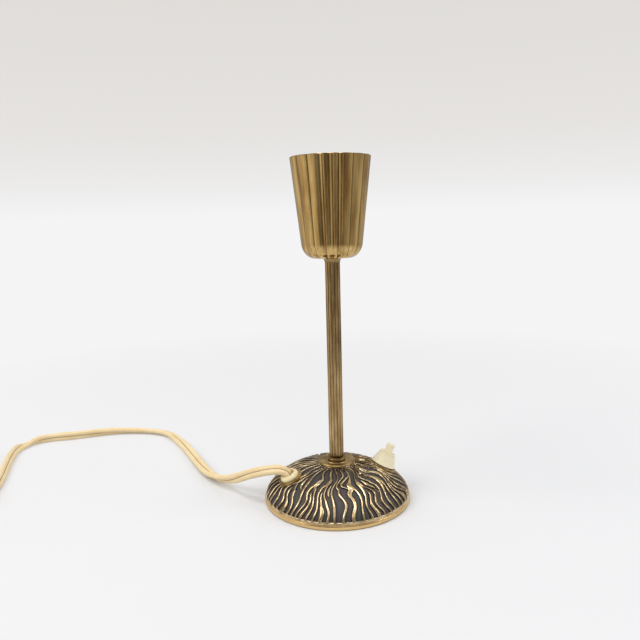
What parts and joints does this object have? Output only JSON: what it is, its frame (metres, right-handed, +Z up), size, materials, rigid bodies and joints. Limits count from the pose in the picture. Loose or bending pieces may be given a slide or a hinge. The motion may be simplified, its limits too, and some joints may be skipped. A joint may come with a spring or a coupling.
{
  "type": "table lamp",
  "caption": "Small brass candle lamp: domed relief base, reeded stem, reeded cup that shades a screw lampholder, push switch on the base, flat mains flex with plug.",
  "frame": {"origin": "on the table, under the middle of the round base", "axes": "+Z up along the stem; the front is -Y; the switch is on +X and the flex leaves on -X"},
  "size_m": [0.4345, 0.2294, 0.2294],
  "materials": {
    "brass_base": "cast relief, polished ridges and dark patina in the recesses",
    "brass_stem": "polished, aged, darker in the valleys",
    "brass_cup": "polished with light tarnish spots",
    "brass_trim": "turned and polished",
    "cream_plastic": "moulded, slightly glossy",
    "felt": "matt pressed felt",
    "steel": "plated",
    "bakelite": "dark moulded",
    "contact_brass": "pressed sheet",
    "flex_sheath": "soft extruded sheath",
    "core_sleeve": "soft extruded sleeve",
    "plug_plastic": "moulded, fine grain",
    "pin_metal": "nickel plated"
  },
  "bodies": {
    "lamp": {"base_casting": "brass_base", "base_plate": "steel", "felt_pad": "felt", "plate_screws": "steel", "stem_disc": "brass_trim", "foot_ring": "brass_trim", "stem_tube": "brass_stem", "base_washer": "steel", "base_nut": "steel", "neck_collar": "brass_trim", "cup": "brass_cup", "cup_washer": "steel", "cup_nut": "steel", "holder_base": "bakelite", "holder_insert": "steel", "holder_grub_screw": "steel", "contact_carrier": "bakelite", "centre_contact": "contact_brass", "side_contact": "contact_brass", "threaded_shell": "contact_brass", "holder_skirt": "bakelite", "switch_washer": "bakelite", "switch_cap": "cream_plastic", "switch_bushing": "contact_brass", "switch_spring": "steel", "switch_body": "bakelite", "switch_contacts": "contact_brass", "terminal_screws": "steel", "flex_bushing": "cream_plastic", "bushing_nut": "cream_plastic", "flex_tail_piece": "flex_sheath", "neutral_core": "core_sleeve", "live_core": "core_sleeve", "switched_core": "core_sleeve", "flex_stretch": "flex_sheath", "flex_coil": "flex_sheath", "plug_relief": "plug_plastic", "plug_lower": "plug_plastic", "plug_upper": "plug_plastic", "plug_screw": "steel", "plug_pins": "pin_metal"},
    "button": {"switch_button": "cream_plastic", "contact_bridge": "contact_brass"}
  },
  "joints": [
    {"name": "button_press", "type": "slide", "parent": "lamp", "child": "button", "axis": [0.4114, 0.1141, 0.9043], "range_m": [-0.0025, 0], "stiffness_N_per_m": 400, "springref_m": 0.002, "deforming": ["switch_spring"]}
  ]
}
